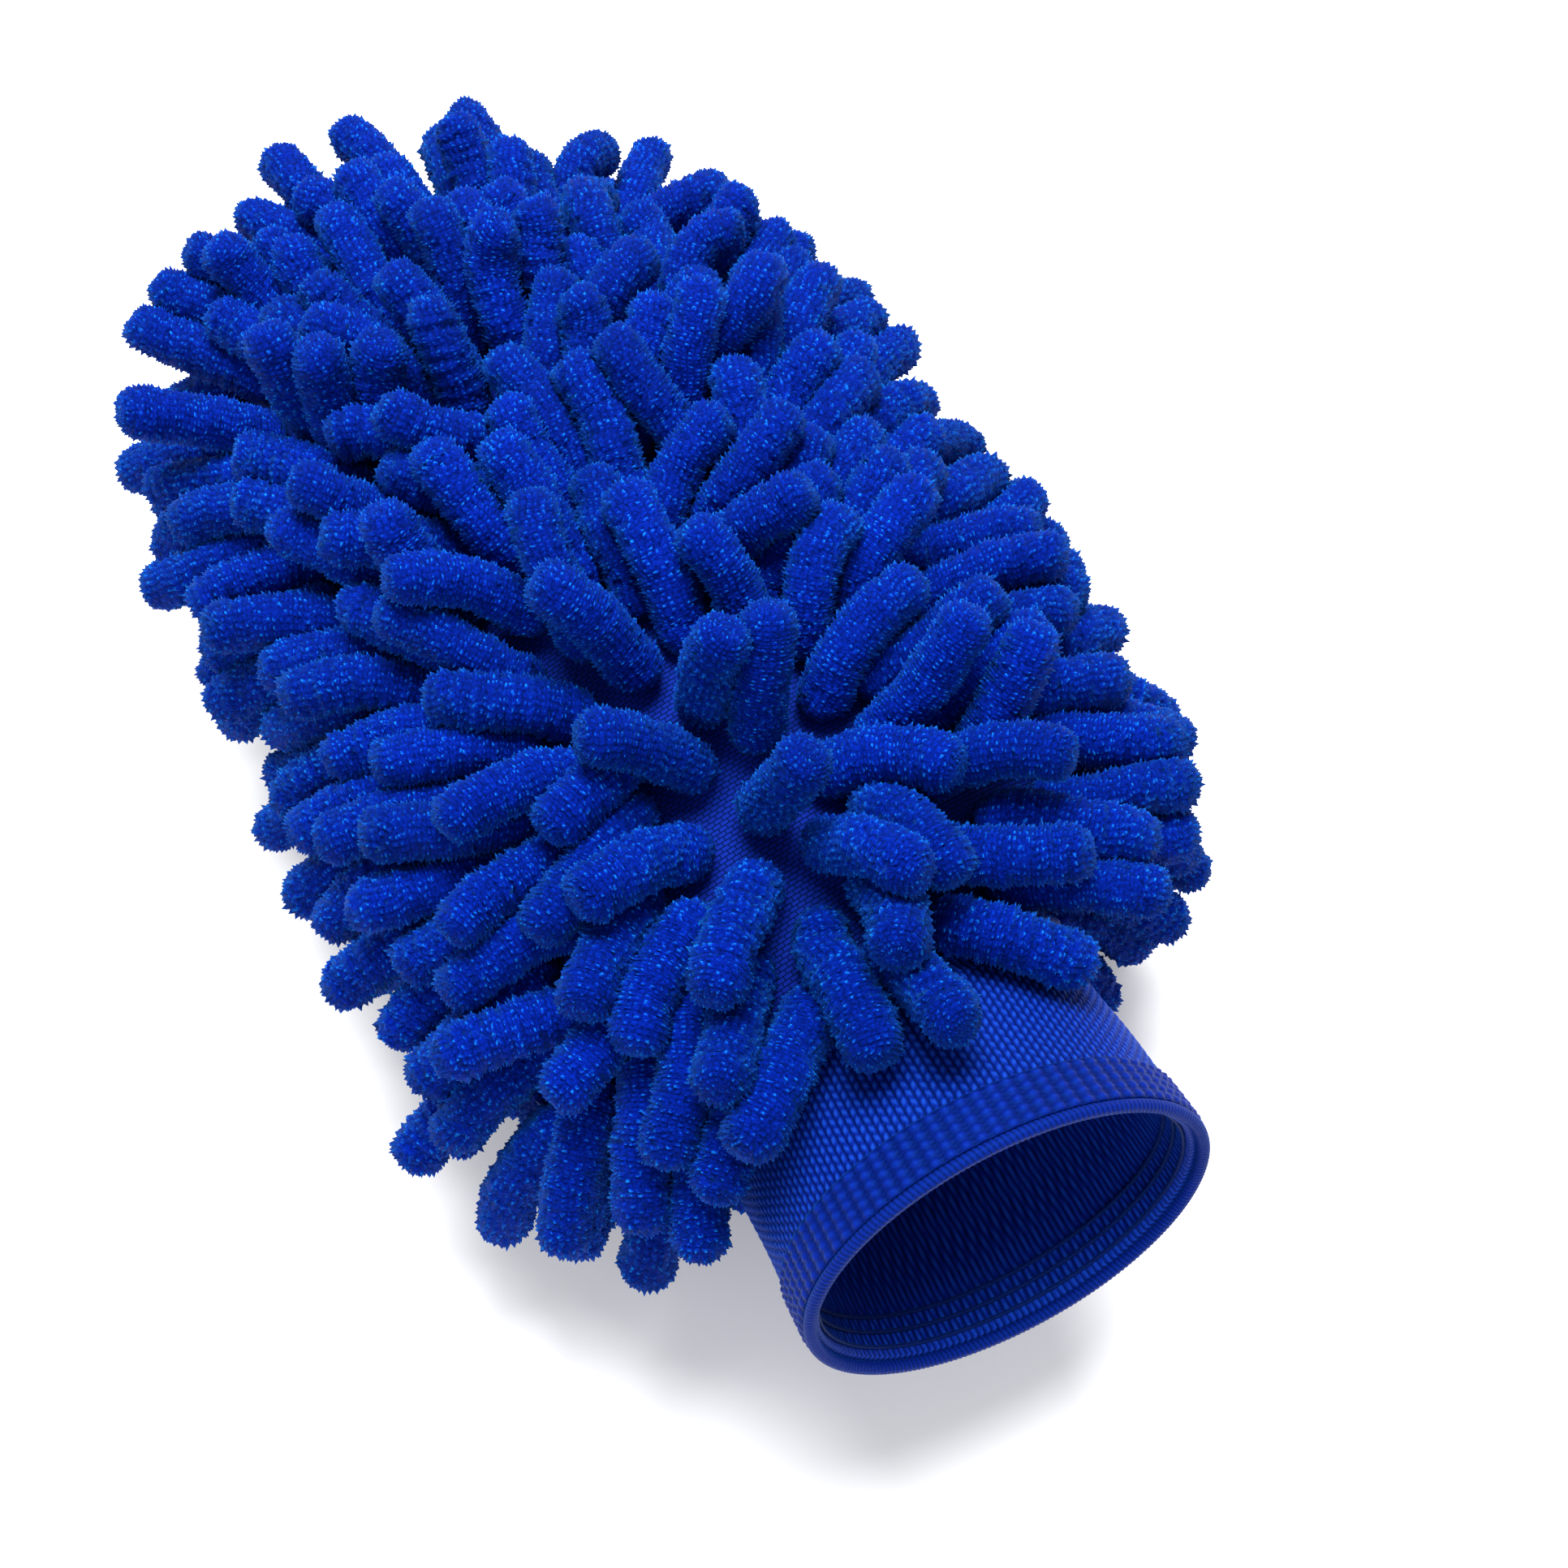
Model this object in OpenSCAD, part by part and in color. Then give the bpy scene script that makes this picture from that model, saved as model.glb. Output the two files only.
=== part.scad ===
// Wash mitt in its worn shape, palm down, open cuff at -Y, fingertips at +Y.

/* [Mitt body] */
// Length of the base cloth from the cuff join to the fingertip seam
body_len = 208; // [194:1:220]
// Width of the filled body at its widest, cloth to cloth
body_w = 114; // [106:1:122]
// Rise of the back panel above the side seam, at the knuckles
back_rise = 29; // [26:1:32]
// Drop of the palm panel below the side seam
palm_drop = 20; // [18:1:22]
// Distance from the cuff join to the knuckles
knuckle_y = 66; // [58:1:74]
// Distance over which the body widens from the cuff to its full width
flare_len = 24; // [20:1:30]
// Sideways bow of the body, as on a relaxed hand
body_bow = 7; // [0:1:9]
// Thickness of the knitted base cloth
cloth_t = 1.6; // [1.2:0.1:2]

/* [Cuff] */
// Width of the cuff at the rim
cuff_w = 71; // [66:1:74]
// Height of the cuff at the rim
cuff_h = 54; // [50:1:56]
// Length of the cuff from its join to the rim
cuff_len = 46; // [40:1:50]
// Upward bend of the cuff
cuff_tilt = 26; // [16:1:30]
// Sideways bend of the cuff
cuff_turn = 8; // [0:1:10]
// Thickness of the rib-knit cuff
cuff_t = 2.2; // [1.8:0.1:2.6]
// Width of the folded hem at the rim
hem_w = 9; // [7:0.5:11]
// Thickness of the folded hem
hem_t = 0.9; // [0.7:0.1:1.2]
// Radius of the rolled edge
roll_r = 1.1; // [0.9:0.1:1.4]

/* [Noodles] */
// Diameter of one chenille noodle
noodle_d = 8.5; // [8:0.1:8.8]
// Length of one chenille noodle
noodle_len = 29; // [26:0.5:30]
// Distance between noodles in a row
noodle_pitch = 10.7; // [10.5:0.1:12]
// Distance between rows
row_pitch = 10.4; // [10.2:0.1:10.5]
// First row's distance from the cuff join
first_row = 6; // [6:0.5:8]
// Distance from the cuff join to the crown that the noodles lean away from
crown_y = 46; // [40:1:60]
// How far the back's noodles lean away from the knuckles
back_spread = 0.55; // [0.4:0.05:0.8]
// How far the palm's noodles are pressed outwards
palm_spread = 1.1; // [0.9:0.1:1.4]
// How far the noodles at the sides hang down
side_hang = 0.5; // [0.3:0.05:0.8]
// Scatter of the noodles' directions
scatter = 0.08; // [0:0.01:0.1]

/* [Seams] */
// Width of the seam allowance that stands out along the side seam
seam_w = 3; // [2:0.2:4]
// Thickness of the seam allowance
seam_t = 1.8; // [1.4:0.1:2.2]
// Distance between stitches along the side seam
stitch_pitch = 6; // [5:0.5:8]

/* [Hidden] */
ROW_COUNT = 19;
SIDES = ["back", "palm"];
ROW_NAMES = ["01", "02", "03", "04", "05", "06", "07", "08",
             "09", "10", "11", "12", "13", "14", "15", "16", "17", "18", "19"];

CLOTH_BLUE = [0.03, 0.10, 0.52];
NOODLE_BLUE = [0.04, 0.20, 0.66];
THREAD_BLUE = [0.02, 0.07, 0.40];
RUBBER = [0.75, 0.74, 0.70];

// ---- outline of the filled body -------------------------------------------
PLAN_TAPER_Y = body_len * 0.5;
TIP_HALF_GAP = 1.2;
LOFT_END = body_len - 0.5;

function ease(y, reach) = sin(90 * min(1, y / reach));
function tip_fade(y, start, power) =
  y <= start ? 1 : pow(max(0, 1 - pow((y - start) / (body_len - start), 2)), power);
function half_w(y) =
  (cuff_w / 2 + (body_w / 2 - cuff_w / 2) * ease(y, flare_len)) * tip_fade(y, PLAN_TAPER_Y, 0.45);
function bow(y) = body_bow * sin(180 * max(0, y) / body_len);
function rise(y) = TIP_HALF_GAP
  + (cuff_h / 2 - TIP_HALF_GAP + (back_rise - cuff_h / 2) * ease(y, knuckle_y))
  * tip_fade(y, knuckle_y, 0.75);
function drop(y) = TIP_HALF_GAP
  + (cuff_h / 2 - TIP_HALF_GAP + (palm_drop - cuff_h / 2) * ease(y, knuckle_y))
  * tip_fade(y, knuckle_y, 0.6);

// Section of a panel: a runs from 0 at +X over the middle to 180 at -X.
PALM_FLATNESS = 0.8;
function signed_pow(v, p) = sign(v) * pow(abs(v), p);
function back_point(y, a, inset) =
  [bow(y) + (half_w(y) - inset) * cos(a), y, max(0.2, rise(y) - inset) * sin(a)];
function palm_point(y, a, inset) =
  let (p = 1 - (1 - PALM_FLATNESS) * ease(y, knuckle_y))
  [bow(y) + (half_w(y) - inset) * signed_pow(cos(a), p), y,
   -max(0.2, drop(y) - inset) * pow(sin(a), p)];
function panel_point(side, y, a, inset = 0) =
  side == "back" ? back_point(y, a, inset) : palm_point(y, a, inset);

function unit(v) = v / norm(v);
function panel_normal(side, y, a) =
  let (e = 0.5,
       along = panel_point(side, y + e, a) - panel_point(side, y - e, a),
       across = panel_point(side, y, a + e) - panel_point(side, y, a - e),
       n = unit(cross(along, across)))
  side == "back" ? n : -n;

// ---- meshes from grids of points ------------------------------------------
function flat(grid) = [for (line = grid) each line];
function quad(a, b, c, d) = [[a, b, c], [a, c, d]];

// A thin shell between two grids that share their rows and columns.
module shell(outer, inner, turned) {
  rows = len(outer);
  cols = len(outer[0]);
  k = rows * cols;
  o = function(r, c) r * cols + c;
  faces = [
    for (r = [0 : rows - 2], c = [0 : cols - 2])
      each quad(o(r, c), o(r, c + 1), o(r + 1, c + 1), o(r + 1, c)),
    for (r = [0 : rows - 2], c = [0 : cols - 2])
      each quad(k + o(r, c), k + o(r + 1, c), k + o(r + 1, c + 1), k + o(r, c + 1)),
    for (c = [0 : cols - 2])
      each quad(o(0, c), k + o(0, c), k + o(0, c + 1), o(0, c + 1)),
    for (r = [0 : rows - 2])
      each quad(o(r, 0), o(r + 1, 0), k + o(r + 1, 0), k + o(r, 0)),
    for (r = [0 : rows - 2])
      each quad(o(r, cols - 1), k + o(r, cols - 1), k + o(r + 1, cols - 1), o(r + 1, cols - 1)),
    for (c = [1 : cols - 2]) [o(rows - 1, 0), o(rows - 1, c), o(rows - 1, c + 1)],
    for (c = [1 : cols - 2]) [k + o(rows - 1, 0), k + o(rows - 1, c + 1), k + o(rows - 1, c)],
    each quad(o(rows - 1, cols - 1), k + o(rows - 1, cols - 1), k + o(rows - 1, 0), o(rows - 1, 0))
  ];
  polyhedron(concat(flat(outer), flat(inner)),
             turned ? [for (f = faces) [f[2], f[1], f[0]]] : faces);
}

// A closed band whose rings of points are joined ring to ring and back to the first.
module loop_band(rings, turned = false) {
  rows = len(rings);
  cols = len(rings[0]);
  faces = [
    for (r = [0 : rows - 1], c = [0 : cols - 1])
      each quad(r * cols + c, r * cols + (c + 1) % cols,
                ((r + 1) % rows) * cols + (c + 1) % cols, ((r + 1) % rows) * cols + c)
  ];
  polyhedron(flat(rings), turned ? [for (f = faces) [f[2], f[1], f[0]]] : faces);
}

// ---- base cloth ------------------------------------------------------------
PANEL_ROWS = 30;
PANEL_COLS = 24;

function row_y(r, end) =
  let (t = r / PANEL_ROWS) end * (t < 0.5 ? t * 1.1 : 0.55 + 0.45 * sin(180 * (t - 0.5)));
function panel_grid(side, inset) =
  [for (r = [0 : PANEL_ROWS])
    [for (c = [0 : PANEL_COLS])
      let (p = panel_point(side, row_y(r, LOFT_END), 180 * c / PANEL_COLS,
                           min(inset, half_w(row_y(r, LOFT_END)) * 0.4)))
      inset > 0 ? [p.x, row_y(r, LOFT_END - inset), p.z] : p]];

module panel(side) {
  shell(panel_grid(side, 0), panel_grid(side, cloth_t), side == "palm");
}

// ---- cuff -------------------------------------------------------------------
CUFF_SIDES = 36;
BEND_LEN = 14;
JOIN_GAP = 0.1;

function path_dir(t) =
  let (k = min(1, t / BEND_LEN), up = cuff_tilt * k, turn = cuff_turn * k)
  [-sin(turn) * cos(up), -cos(turn) * cos(up), sin(up)];
PATH_STEP = 1;
PATH = [for (i = 0, p = [0, -JOIN_GAP, 0]; i <= cuff_len / PATH_STEP + 4;
             p = p + PATH_STEP * path_dir((i + 0.5) * PATH_STEP), i = i + 1) p];
function path_point(t) =
  let (i = floor(t / PATH_STEP), f = t / PATH_STEP - i)
  PATH[i] + f * (PATH[i + 1] - PATH[i]);
function cuff_point(t, a, out) =
  let (d = path_dir(t), side = unit(cross(d, [0, 0, 1])), up = cross(side, d))
  path_point(t) - side * (cuff_w / 2 + out) * cos(a) + up * (cuff_h / 2 + out) * sin(a);

// A sleeve of the cuff between two distances from the join and two depths.
module sleeve(t0, t1, deep, high, steps) {
  loop_band([
    for (i = [0 : CUFF_SIDES - 1])
      let (a = 360 * i / CUFF_SIDES)
      [each [for (s = [0 : steps]) cuff_point(t0 + (t1 - t0) * s / steps, a, high)],
       each [for (s = [steps : -1 : 0]) cuff_point(t0 + (t1 - t0) * s / steps, a, deep)]]
  ], true);
}

// A round cord once around the cuff, out from its surface.
module cuff_ring(t, out, r, corners) {
  loop_band([
    for (i = [0 : CUFF_SIDES - 1])
      let (a = 360 * i / CUFF_SIDES)
      [for (k = [0 : corners - 1])
        let (b = 360 * k / corners) cuff_point(t + r * sin(b), a, out + r * cos(b))]
  ], false);
}

// ---- noodles ---------------------------------------------------------------
R = noodle_d / 2;
// Radius and distance from the root, as a share of the radius and of the length.
NOODLE_SHAPE = [[0.42, 0], [0.80, 0.05], [1, 0.15], [1, 0.78], [0.84, 0.91], [0.5, 0.985]];
NOODLE_PROFILE = [for (p = NOODLE_SHAPE) [p[0] * R, p[1] * noodle_len]];
CROWN = [-2, crown_y, 0];
SEAM_CLEAR = 4.5;
SURFACE_GAP = 0.1;

// Arc length over a section, as pairs of length and angle.
ARC_STEPS = 48;
function arc_table(side, y) =
  [for (i = 0, s = 0; i <= ARC_STEPS;
        s = s + norm(panel_point(side, y, 180 * (i + 1) / ARC_STEPS)
                     - panel_point(side, y, 180 * i / ARC_STEPS)),
        i = i + 1) [s, 180 * i / ARC_STEPS]];

// Direction of a noodle: out of the cloth, away from the crown and down.
function spread(side) = side == "back" ? back_spread : palm_spread;
function crown_reach(side) = side == "back" ? 16 : 8;
function hang(n) = 0.3 + side_hang * (1 - n.z * n.z);
function noodle_dir(side, p, n, seed) =
  let (away = [p.x - CROWN.x, (p.y - CROWN.y) * 0.8, 0],
       far = norm(away),
       tip_stand = side == "back" ? max(0, min(1, (p.y - CROWN.y - 20) / 60)) * 0.7 : 0,
       pull = spread(side) * (1 - tip_stand) * min(1, far / crown_reach(side)),
       j = rands(-scatter, scatter, 3, seed))
  unit(n + away / max(1, far) * pull - [0, 0, hang(n)] + [j[0], j[1], j[2]]);
// Height that keeps a leaning noodle's side clear of the cloth.
function root_lift(d, n) =
  let (lean = acos(min(1, d * n)))
  SURFACE_GAP + max([for (q = NOODLE_PROFILE) q[0] * sin(lean) - q[1] * cos(lean)]);

// One row: a list of [point on the cloth, normal, direction].
function noodle_row(side, r) =
  let (y = first_row + r * row_pitch,
       arc = arc_table(side, y),
       total = arc[ARC_STEPS][0],
       usable = total - 2 * SEAM_CLEAR,
       fit = floor(usable / noodle_pitch),
       count = max(1, (fit + r) % 2 == 0 ? fit + 1 : fit),
       step = fit < 2 ? noodle_pitch : usable / fit)
  [for (i = [0 : count - 1])
    let (s = total / 2 + (i - (count - 1) / 2) * step,
         a = lookup(s, arc),
         p = panel_point(side, y, a),
         nn = panel_normal(side, y, a),
         seed = 100 * r + i + (side == "palm" ? 5000 : 0))
    [p, nn, noodle_dir(side, p, nn, seed)]];

NOODLES = [for (side = SIDES, r = [0 : ROW_COUNT - 1], n = noodle_row(side, r))
            [n[0] + n[1] * root_lift(n[2], n[1]), n[2], side, r]];

module noodle(root, dir) {
  turn = atan2(dir.y, dir.x);
  tilt = acos(dir.z);
  translate(root) rotate([0, tilt, turn])
    rotate_extrude($fn = 32)
      polygon([[0, 0], each NOODLE_PROFILE, [0, noodle_len]]);
}

module noodles(side, r) {
  color(NOODLE_BLUE)
    for (n = NOODLES) if (n[2] == side && n[3] == r) noodle(n[0], n[1]);
}

// ---- origin: under the middle of the whole mitt ------------------------------
function reach(n, axis, way) =
  max([for (q = NOODLE_PROFILE)
    way * (n[0][axis] + n[1][axis] * q[1]) + q[0] * sqrt(max(0, 1 - n[1][axis] * n[1][axis]))]);
function extent(axis, way) = way * max([for (n = NOODLES) reach(n, axis, way)]);
RIM_LOW_Y = min([for (i = [0 : 35]) cuff_point(cuff_len + roll_r, i * 10, roll_r).y]);
MIDDLE_X = (extent(0, 1) + extent(0, -1)) / 2;
MIDDLE_Y = (extent(1, 1) + RIM_LOW_Y) / 2;
FLOOR_Z = extent(2, -1);

module placed() { translate([-MIDDLE_X, -MIDDLE_Y, -FLOOR_Z]) children(); }

// ---- sub-parts ---------------------------------------------------------------
module back_panel() { color(CLOTH_BLUE) placed() panel("back"); }
module palm_panel() { color(CLOTH_BLUE) placed() panel("palm"); }

// Outline of the side seam, from the cuff at +X round the fingertips to -X. It has the
// panels' own rows, so that it follows their edges.
SEAM_ROWS = [for (r = [1 : PANEL_ROWS]) row_y(r, LOFT_END)];
OUTLINE = [
  each [for (y = SEAM_ROWS) [bow(y) + half_w(y), y]],
  each [for (i = [len(SEAM_ROWS) - 1 : -1 : 0])
    let (y = SEAM_ROWS[i]) [bow(y) - half_w(y), y]]
];
function outline_normal(i) =
  let (a = OUTLINE[max(0, i - 1)], b = OUTLINE[min(len(OUTLINE) - 1, i + 1)], d = unit(b - a))
  [d.y, -d.x];

// A flat strip along the outline from one distance out to another.
module outline_strip(near, far, thick) {
  last = len(OUTLINE) - 1;
  pts = [for (i = [0 : last])
    let (n = outline_normal(i), p = OUTLINE[i], a = p + n * near, b = p + n * far)
    each [[a.x, a.y, -thick / 2], [b.x, b.y, -thick / 2],
          [b.x, b.y, thick / 2], [a.x, a.y, thick / 2]]];
  faces = [
    for (i = [0 : last - 1], c = [0 : 3])
      each quad(4 * i + c, 4 * i + 4 + c, 4 * i + 4 + (c + 1) % 4, 4 * i + (c + 1) % 4),
    each quad(0, 1, 2, 3),
    each quad(4 * last + 3, 4 * last + 2, 4 * last + 1, 4 * last)
  ];
  polyhedron(pts, faces);
}

module side_seam_allowance() {
  color(CLOTH_BLUE) placed() outline_strip(SURFACE_GAP, SURFACE_GAP + seam_w, seam_t);
}

// Lockstitches that lie on both faces of the seam allowance.
STITCH_R = 0.4;
STITCH_LEN = 3.6;
function outline_run() =
  [for (i = 0, s = 0; i < len(OUTLINE);
        s = s + (i < len(OUTLINE) - 1 ? norm(OUTLINE[i + 1] - OUTLINE[i]) : 0), i = i + 1) s];
SEAM_RUN = outline_run();
function outline_at(s, axis) =
  lookup(s, [for (i = [0 : len(OUTLINE) - 1]) [SEAM_RUN[i], OUTLINE[i][axis]]]);

module stitch_line(face) {
  total = SEAM_RUN[len(SEAM_RUN) - 1];
  count = floor((total - 8) / stitch_pitch);
  for (i = [0 : count]) {
    s = 4 + i * stitch_pitch;
    a = [outline_at(s - 0.5, 0), outline_at(s - 0.5, 1)];
    b = [outline_at(s + 0.5, 0), outline_at(s + 0.5, 1)];
    d = unit(b - a);
    mid = (a + b) / 2 + [d.y, -d.x] * seam_w * 0.62;
    translate([mid.x, mid.y, face * (seam_t / 2 + STITCH_R + 0.05)])
      rotate([0, 0, atan2(d.y, d.x)]) rotate([0, 90, 0])
        cylinder(h = STITCH_LEN, r = STITCH_R, center = true, $fn = 16);
  }
}

module side_seam_stitches() {
  color(THREAD_BLUE) placed() {
    stitch_line(1);
    stitch_line(-1);
  }
}

CUFF_STEPS = 9;
module cuff_rib() {
  color(CLOTH_BLUE) placed() sleeve(0, cuff_len, -cuff_t, 0, CUFF_STEPS);
}

HEM_GAP = 0.05;
module cuff_hem() {
  color(CLOTH_BLUE) placed()
    sleeve(cuff_len - hem_w, cuff_len, HEM_GAP, HEM_GAP + hem_t, 2);
}

module cuff_rolled_edge() {
  color(THREAD_BLUE) placed()
    cuff_ring(cuff_len + roll_r + HEM_GAP, (hem_t - cuff_t) / 2 + 0.3, roll_r, 8);
}

// Rubber threads that run in the hem, between it and the hand.
THREAD_R = 0.35;
THREAD_COUNT = 3;
module cuff_elastic_threads() {
  color(RUBBER) placed()
    for (i = [0 : THREAD_COUNT - 1])
      cuff_ring(cuff_len - hem_w * (i + 0.5) / THREAD_COUNT,
                -cuff_t - THREAD_R - HEM_GAP, THREAD_R, 6);
}

// Overlocked ridge over the join of cuff and body, on the cuff's side of it.
JOIN_R = 1.1;
module cuff_join_seam() {
  color(THREAD_BLUE) placed() cuff_ring(JOIN_R + 0.6, JOIN_R + HEM_GAP, JOIN_R, 8);
}

JOIN_STITCHES = 48;
module cuff_join_stitches() {
  color(THREAD_BLUE) placed()
    for (i = [0 : JOIN_STITCHES - 1]) {
      a = 360 * i / JOIN_STITCHES;
      p = cuff_point(4.6, a, STITCH_R + HEM_GAP);
      d = unit(cuff_point(6, a, 0) - cuff_point(3.6, a, 0));
      translate(p) rotate([0, acos(d.z), atan2(d.y, d.x)])
        cylinder(h = 2.2, r = STITCH_R, center = true, $fn = 16);
    }
}

// ---- drawing -------------------------------------------------------------------
back_panel();
palm_panel();
side_seam_allowance();
side_seam_stitches();
cuff_rib();
cuff_hem();
cuff_rolled_edge();
cuff_elastic_threads();
cuff_join_seam();
cuff_join_stitches();
for (side = SIDES)
  for (r = [0 : ROW_COUNT - 1])
    placed() noodles(side, r);
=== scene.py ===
# %% [markdown]
# A chenille wash mitt, as it sits on a hand: two knitted panels covered in plump noodles,
# sewn together round the fingertips, with a stretch knit cuff at the wrist.
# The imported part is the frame. Every piece here stands in the place of one of its nodes.

import math

import bmesh
import bpy
import numpy as np
from mathutils import Matrix, Vector
from mathutils.bvhtree import BVHTree


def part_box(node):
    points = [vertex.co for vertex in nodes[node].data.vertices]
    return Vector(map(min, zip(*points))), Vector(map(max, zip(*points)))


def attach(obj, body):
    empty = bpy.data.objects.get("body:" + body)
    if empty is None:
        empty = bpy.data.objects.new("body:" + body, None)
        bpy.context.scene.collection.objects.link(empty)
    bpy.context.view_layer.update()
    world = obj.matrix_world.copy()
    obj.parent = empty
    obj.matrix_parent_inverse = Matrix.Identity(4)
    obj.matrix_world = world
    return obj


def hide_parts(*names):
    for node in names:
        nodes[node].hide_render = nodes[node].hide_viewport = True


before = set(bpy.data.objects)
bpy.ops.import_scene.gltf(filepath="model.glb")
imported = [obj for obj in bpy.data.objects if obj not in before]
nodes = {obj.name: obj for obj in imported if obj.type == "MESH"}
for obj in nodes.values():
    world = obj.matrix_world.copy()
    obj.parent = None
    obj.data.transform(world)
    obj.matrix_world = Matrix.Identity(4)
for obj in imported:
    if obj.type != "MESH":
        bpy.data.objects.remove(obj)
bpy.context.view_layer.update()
MM = 0.001
rng = np.random.default_rng(11)

# %% [markdown]
# The camera looks down over the wrist, close to the mitt, so the cuff is large and the
# fingertips are small. It is placed by its direction and its distance from an aim point.

# %% Camera
CAMERA_AZIMUTH = -33
CAMERA_ELEVATION = 67
CAMERA_DISTANCE = 0.260
CAMERA_AIM_FROM_RIM = Vector((0.0064, 0.0768, 0.0265))
SENSOR = 36
LENS = 37.3


def looking_from(azimuth, elevation):
    a, e = math.radians(azimuth), math.radians(elevation)
    return Vector((math.sin(a) * math.cos(e), -math.cos(a) * math.cos(e), math.sin(e)))


def middle_of(node):
    low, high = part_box(node)
    return (Vector(low) + Vector(high)) / 2


def make_camera():
    data = bpy.data.cameras.new("camera")
    data.lens, data.sensor_width = LENS, SENSOR
    data.clip_start, data.clip_end = 0.01, 20
    camera = bpy.data.objects.new("camera", data)
    bpy.context.scene.collection.objects.link(camera)
    back = looking_from(CAMERA_AZIMUTH, CAMERA_ELEVATION)
    aim = middle_of("cuff_rolled_edge") + CAMERA_AIM_FROM_RIM
    camera.location = aim + back * CAMERA_DISTANCE
    camera.rotation_euler = (-back).to_track_quat("-Z", "Y").to_euler()
    bpy.context.scene.camera = camera
    return camera


print("camera at", [round(c, 3) for c in make_camera().location])

# %% [markdown]
# The studio is a pale floor under large soft lights. Royal blue is kept pure by the
# plain display transform, which doesn't wash out strong colours.

# %% Lights and world
bpy.context.scene.view_settings.view_transform = "Standard"
WORLD_LIGHT = 0.62
KEY_PLACE, KEY_SIZE, KEY_POWER = (0.25, 0.45, 1.3), 0.8, 40
FILL_PLACE, FILL_SIZE, FILL_POWER = (-0.9, -0.9, 0.9), 0.9, 9


def soft_light(name, where, size, power):
    data = bpy.data.lights.new(name, "AREA")
    data.shape, data.size, data.energy = "DISK", size, power
    lamp = bpy.data.objects.new(name, data)
    lamp.location = where
    lamp.rotation_euler = (-Vector(where)).to_track_quat("-Z", "Y").to_euler()
    bpy.context.scene.collection.objects.link(lamp)


world = bpy.data.worlds.new("studio")
world.use_nodes = True
world.node_tree.nodes["Background"].inputs["Color"].default_value = (1, 1, 1, 1)
world.node_tree.nodes["Background"].inputs["Strength"].default_value = WORLD_LIGHT
bpy.context.scene.world = world
soft_light("key", KEY_PLACE, KEY_SIZE, KEY_POWER)
soft_light("fill", FILL_PLACE, FILL_SIZE, FILL_POWER)

# %% [markdown]
# Materials are node trees. A small helper adds a node, sets its values and makes its
# links in one call, so that each material reads as a list of what it does.

# %% Helpers for node trees
def add(tree, kind, values=(), links=(), **props):
    """Adds a node. values sets its inputs, and links joins outputs of other nodes to them."""
    made = tree.nodes.new(kind)
    for key, value in props.items():
        setattr(made, key, value)
    for key, value in dict(values).items():
        made.inputs[key].default_value = value
    for key, source in dict(links).items():
        tree.links.new(source, made.inputs[key])
    return made


def new_group(name, inputs, outputs):
    """A shader node group with named sockets, and its input and output nodes."""
    group = bpy.data.node_groups.new(name, "ShaderNodeTree")
    for socket, kind, value in inputs:
        made = group.interface.new_socket(name=socket, in_out="INPUT", socket_type=kind)
        made.default_value = value
    for socket, kind in outputs:
        group.interface.new_socket(name=socket, in_out="OUTPUT", socket_type=kind)
    return group, group.nodes.new("NodeGroupInput"), group.nodes.new("NodeGroupOutput")


BLUE_GLEAM = (0.03, 0.28, 0.85, 1)


def new_material(name, color, roughness, sheen=0.0, specular=0.2, gleam=BLUE_GLEAM):
    material = bpy.data.materials.new(name)
    material.use_nodes = True
    material.diffuse_color = color
    shader = material.node_tree.nodes["Principled BSDF"]
    for key, value in {"Base Color": color, "Roughness": roughness, "Sheen Weight": sheen,
                       "Sheen Tint": gleam, "Sheen Roughness": 0.4,
                       "Specular Tint": gleam, "Specular IOR Level": specular}.items():
        shader.inputs[key].default_value = value
    return material, material.node_tree, shader


def ramp(tree, factor, stops):
    made = add(tree, "ShaderNodeValToRGB", links={"Fac": factor})
    line = made.color_ramp
    while len(line.elements) < len(stops):
        line.elements.new(0.5)
    for element, (place, color) in zip(line.elements, stops):
        element.position, element.color = place, color
    return made.outputs["Color"]


def math_node(tree, operation, a, b):
    made = tree.nodes.new("ShaderNodeMath")
    made.operation = operation
    for socket, value in zip(made.inputs, (a, b)):
        if isinstance(value, (int, float)):
            socket.default_value = value
        else:
            tree.links.new(value, socket)
    return made.outputs["Value"]


# %% [markdown]
# Dye in soft yarn is never quite even: hanks differ a little, and worn places are paler.
# One group gives that slow change of tone to every cloth in the mitt.

# %% Shared group: uneven dye
def make_dye_group():
    group, put_in, put_out = new_group(
        "uneven_dye",
        [("Color", "NodeSocketColor", (0.01, 0.05, 0.4, 1)),
         ("Scale", "NodeSocketFloat", 60.0), ("Amount", "NodeSocketFloat", 0.25)],
        [("Color", "NodeSocketColor")])
    place = add(group, "ShaderNodeTexCoord").outputs["Object"]
    noise = add(group, "ShaderNodeTexNoise", {"Detail": 4.0, "Roughness": 0.6},
                {"Vector": place, "Scale": put_in.outputs["Scale"]})
    centred = math_node(group, "SUBTRACT", noise.outputs["Fac"], 0.5)
    change = math_node(group, "MULTIPLY", centred, put_in.outputs["Amount"])
    tone = math_node(group, "ADD", math_node(group, "MULTIPLY", change, 2.0), 1.0)
    dyed = add(group, "ShaderNodeVectorMath", operation="SCALE",
               links={0: put_in.outputs["Color"], "Scale": tone})
    group.links.new(dyed.outputs["Vector"], put_out.inputs["Color"])
    return group


DYE = make_dye_group()


def dyed(tree, color, scale, amount):
    """Gives the color of a material's nodes the slow change of tone."""
    return add(tree, "ShaderNodeGroup", {"Scale": scale, "Amount": amount}, {"Color": color},
               node_tree=DYE).outputs["Color"]


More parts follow.
